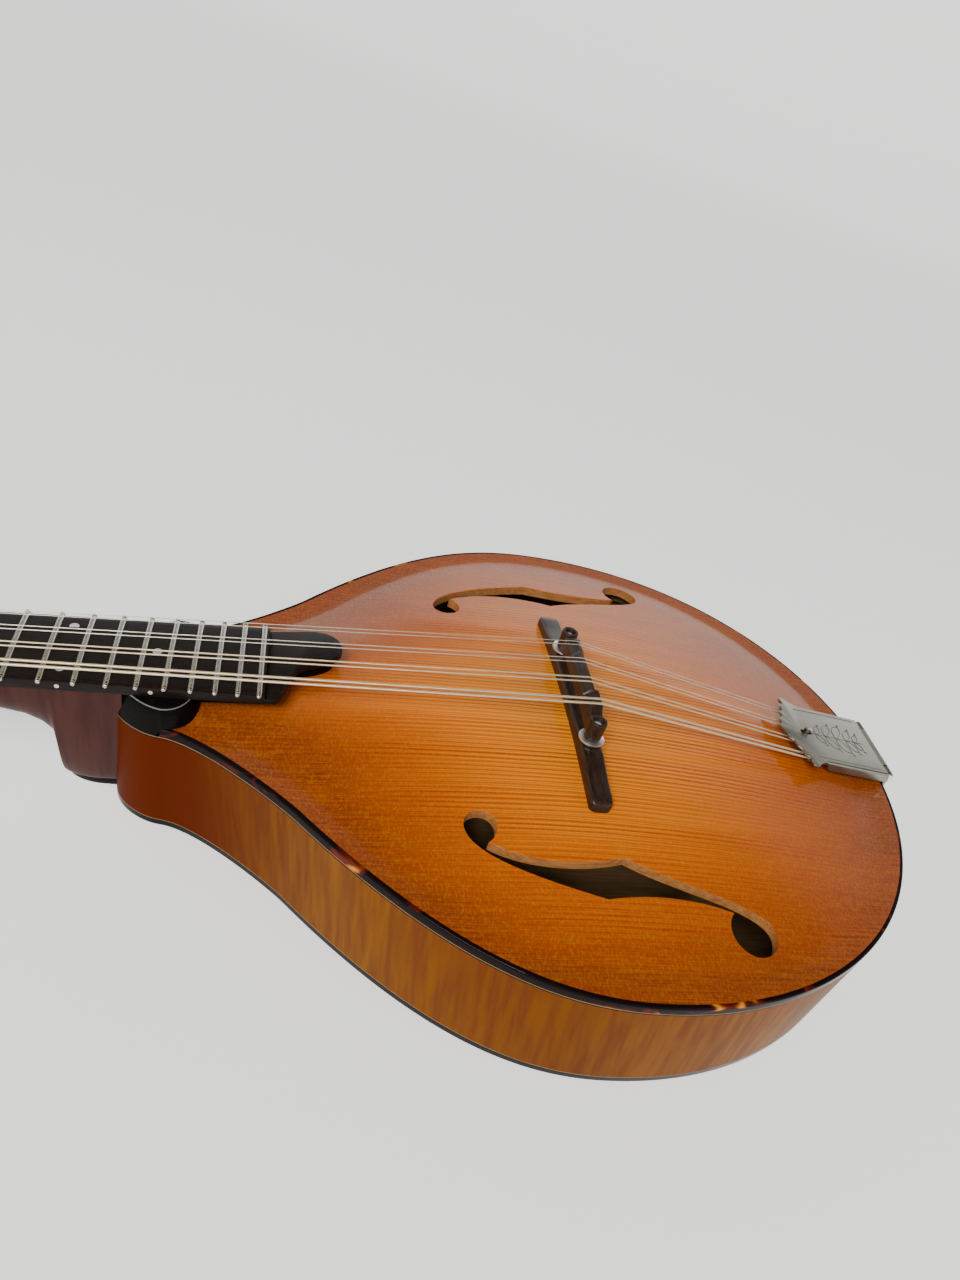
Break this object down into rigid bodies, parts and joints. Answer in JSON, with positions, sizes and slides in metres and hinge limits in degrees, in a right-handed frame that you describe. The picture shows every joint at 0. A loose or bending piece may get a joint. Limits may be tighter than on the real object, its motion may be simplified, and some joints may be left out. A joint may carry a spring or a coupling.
{
  "type": "mandolin",
  "caption": "Teardrop-shaped carved-top mandolin with f-holes, adjustable bridge, hinged tailpiece cover, raised fretboard with a curled end, and geared tuners.",
  "frame": {"origin": "middle of the small flat at the lowest point of the carved back, below the bridge", "axes": "+X from the headstock to the tail, +Y to the treble side, +Z out of the top"},
  "size_m": [0.6604, 0.2518, 0.0892],
  "materials": {
    "spruce": "gloss amber lacquer over fine straight grain",
    "maple": "gloss brown lacquer over curled grain",
    "neck_maple": "gloss dark brown lacquer",
    "inside_wood": "bare, unfinished",
    "tortoiseshell": "dark mottled, polished",
    "black_plastic": "polished",
    "ebony": "oiled, satin",
    "rosewood": "oiled, satin",
    "bone": "satin",
    "nickel": "satin nickel plate",
    "steel": "bright wire and rod",
    "brass": "turned",
    "bronze": "wound phosphor bronze",
    "button_plastic": "pearl buttons on nickel shafts"
  },
  "bodies": {
    "instrument": {"top_plate": "spruce", "back_plate": "maple", "rib_bass": "maple", "rib_treble": "maple", "head_block": "inside_wood", "tail_block": "inside_wood", "top_binding": "tortoiseshell", "back_binding": "black_plastic", "neck": "neck_maple", "headplate": "ebony", "truss_rod": "steel", "truss_rod_cover": "black_plastic", "fretboard": "ebony", "riser": "ebony", "nut": "bone", "bridge_base": "rosewood", "tailpiece_base": "nickel", "tailpiece_hinge_pin": "steel", "end_pin": "ebony", "top_lining_treble": "inside_wood", "back_lining_treble": "inside_wood", "tone_bar_treble": "inside_wood", "bridge_post_treble": "steel", "tuner_plate_treble": "nickel", "top_lining_bass": "inside_wood", "back_lining_bass": "inside_wood", "tone_bar_bass": "inside_wood", "bridge_post_bass": "steel", "tuner_plate_bass": "nickel", "string_g_outer": "bronze", "string_g_inner": "bronze", "string_d_outer": "bronze", "string_d_inner": "bronze", "string_a_inner": "steel", "string_a_outer": "steel", "string_e_inner": "steel", "string_e_outer": "steel"},
    "saddle": {"bridge_saddle": "rosewood"},
    "tailpiece_cover": {"tailpiece_cover": "nickel"},
    "truss_rod_nut": {"truss_rod_nut": "brass"},
    "thumbwheel_treble": {"thumbwheel_treble": "nickel"},
    "thumbwheel_bass": {"thumbwheel_bass": "nickel"},
    "tuner_worm_treble_1": {"tuner_worm_treble_1": "button_plastic"},
    "tuner_post_treble_1": {"tuner_post_treble_1": "nickel"},
    "tuner_worm_treble_2": {"tuner_worm_treble_2": "button_plastic"},
    "tuner_post_treble_2": {"tuner_post_treble_2": "nickel"},
    "tuner_worm_treble_3": {"tuner_worm_treble_3": "button_plastic"},
    "tuner_post_treble_3": {"tuner_post_treble_3": "nickel"},
    "tuner_worm_treble_4": {"tuner_worm_treble_4": "button_plastic"},
    "tuner_post_treble_4": {"tuner_post_treble_4": "nickel"},
    "tuner_worm_bass_1": {"tuner_worm_bass_1": "button_plastic"},
    "tuner_post_bass_1": {"tuner_post_bass_1": "nickel"},
    "tuner_worm_bass_2": {"tuner_worm_bass_2": "button_plastic"},
    "tuner_post_bass_2": {"tuner_post_bass_2": "nickel"},
    "tuner_worm_bass_3": {"tuner_worm_bass_3": "button_plastic"},
    "tuner_post_bass_3": {"tuner_post_bass_3": "nickel"},
    "tuner_worm_bass_4": {"tuner_worm_bass_4": "button_plastic"},
    "tuner_post_bass_4": {"tuner_post_bass_4": "nickel"}
  },
  "joints": [
    {"name": "tailpiece_cover_hinge", "type": "hinge", "parent": "instrument", "child": "tailpiece_cover", "pos_m": [0.1433, 0, 0.0664], "axis": [0, 1, 0], "range_deg": [0, 110]},
    {"name": "truss_rod_nut_turn", "type": "hinge", "parent": "instrument", "child": "truss_rod_nut", "pos_m": [-0.36256, 0, 0.04612], "axis": [0.997, 0, 0.0774], "range_deg": [-180, 180]},
    {"name": "saddle_lift", "type": "slide", "parent": "instrument", "child": "saddle", "axis": [0, 0, 1], "range_m": [-0.0005, 0.0015], "deforming": ["string_g_outer", "string_g_inner", "string_d_outer", "string_d_inner", "string_a_inner", "string_a_outer", "string_e_inner", "string_e_outer"]},
    {"name": "thumbwheel_treble_turn", "type": "hinge", "parent": "saddle", "child": "thumbwheel_treble", "pos_m": [0.0005, 0.0266, 0.078], "axis": [0, 0, 1], "range_deg": [-258, 772]},
    {"name": "thumbwheel_bass_turn", "type": "hinge", "parent": "saddle", "child": "thumbwheel_bass", "pos_m": [0.0005, -0.0266, 0.078], "axis": [0, 0, 1], "range_deg": [-258, 772]},
    {"name": "tuner_button_treble_1_turn", "type": "hinge", "parent": "instrument", "child": "tuner_worm_treble_1", "pos_m": [-0.38049, 0.0175, 0.02737], "axis": [0, 1, 0], "continuous": true},
    {"name": "tuner_post_treble_1_turn", "type": "hinge", "parent": "instrument", "child": "tuner_post_treble_1", "pos_m": [-0.39034, 0.0175, 0.03536], "axis": [-0.2629, 0, 0.9648], "continuous": true},
    {"name": "tuner_button_treble_2_turn", "type": "hinge", "parent": "instrument", "child": "tuner_worm_treble_2", "pos_m": [-0.40298, 0.0175, 0.02124], "axis": [0, 1, 0], "continuous": true},
    {"name": "tuner_post_treble_2_turn", "type": "hinge", "parent": "instrument", "child": "tuner_post_treble_2", "pos_m": [-0.41282, 0.0175, 0.02923], "axis": [-0.2629, 0, 0.9648], "continuous": true},
    {"name": "tuner_button_treble_3_turn", "type": "hinge", "parent": "instrument", "child": "tuner_worm_treble_3", "pos_m": [-0.42546, 0.0175, 0.01511], "axis": [0, 1, 0], "continuous": true},
    {"name": "tuner_post_treble_3_turn", "type": "hinge", "parent": "instrument", "child": "tuner_post_treble_3", "pos_m": [-0.4353, 0.0175, 0.02311], "axis": [-0.2629, 0, 0.9648], "continuous": true},
    {"name": "tuner_button_treble_4_turn", "type": "hinge", "parent": "instrument", "child": "tuner_worm_treble_4", "pos_m": [-0.44794, 0.0175, 0.00899], "axis": [0, 1, 0], "continuous": true},
    {"name": "tuner_post_treble_4_turn", "type": "hinge", "parent": "instrument", "child": "tuner_post_treble_4", "pos_m": [-0.45778, 0.0175, 0.01698], "axis": [-0.2629, 0, 0.9648], "continuous": true},
    {"name": "tuner_button_bass_1_turn", "type": "hinge", "parent": "instrument", "child": "tuner_worm_bass_1", "pos_m": [-0.38049, -0.0175, 0.02737], "axis": [0, 1, 0], "continuous": true},
    {"name": "tuner_post_bass_1_turn", "type": "hinge", "parent": "instrument", "child": "tuner_post_bass_1", "pos_m": [-0.39034, -0.0175, 0.03536], "axis": [-0.2629, 0, 0.9648], "continuous": true},
    {"name": "tuner_button_bass_2_turn", "type": "hinge", "parent": "instrument", "child": "tuner_worm_bass_2", "pos_m": [-0.40298, -0.0175, 0.02124], "axis": [0, 1, 0], "continuous": true},
    {"name": "tuner_post_bass_2_turn", "type": "hinge", "parent": "instrument", "child": "tuner_post_bass_2", "pos_m": [-0.41282, -0.0175, 0.02923], "axis": [-0.2629, 0, 0.9648], "continuous": true},
    {"name": "tuner_button_bass_3_turn", "type": "hinge", "parent": "instrument", "child": "tuner_worm_bass_3", "pos_m": [-0.42546, -0.0175, 0.01511], "axis": [0, 1, 0], "continuous": true},
    {"name": "tuner_post_bass_3_turn", "type": "hinge", "parent": "instrument", "child": "tuner_post_bass_3", "pos_m": [-0.4353, -0.0175, 0.02311], "axis": [-0.2629, 0, 0.9648], "continuous": true},
    {"name": "tuner_button_bass_4_turn", "type": "hinge", "parent": "instrument", "child": "tuner_worm_bass_4", "pos_m": [-0.44794, -0.0175, 0.00899], "axis": [0, 1, 0], "continuous": true},
    {"name": "tuner_post_bass_4_turn", "type": "hinge", "parent": "instrument", "child": "tuner_post_bass_4", "pos_m": [-0.45778, -0.0175, 0.01698], "axis": [-0.2629, 0, 0.9648], "continuous": true}
  ],
  "couplings": [
    {"joint": "thumbwheel_treble_turn", "follows": "saddle_lift", "rad_per_m": 8976},
    {"joint": "thumbwheel_bass_turn", "follows": "saddle_lift", "rad_per_m": 8976},
    {"joint": "tuner_post_treble_1_turn", "follows": "tuner_button_treble_1_turn", "ratio": -0.071429},
    {"joint": "tuner_post_treble_2_turn", "follows": "tuner_button_treble_2_turn", "ratio": -0.071429},
    {"joint": "tuner_post_treble_3_turn", "follows": "tuner_button_treble_3_turn", "ratio": -0.071429},
    {"joint": "tuner_post_treble_4_turn", "follows": "tuner_button_treble_4_turn", "ratio": -0.071429},
    {"joint": "tuner_post_bass_1_turn", "follows": "tuner_button_bass_1_turn", "ratio": -0.071429},
    {"joint": "tuner_post_bass_2_turn", "follows": "tuner_button_bass_2_turn", "ratio": -0.071429},
    {"joint": "tuner_post_bass_3_turn", "follows": "tuner_button_bass_3_turn", "ratio": -0.071429},
    {"joint": "tuner_post_bass_4_turn", "follows": "tuner_button_bass_4_turn", "ratio": -0.071429}
  ]
}
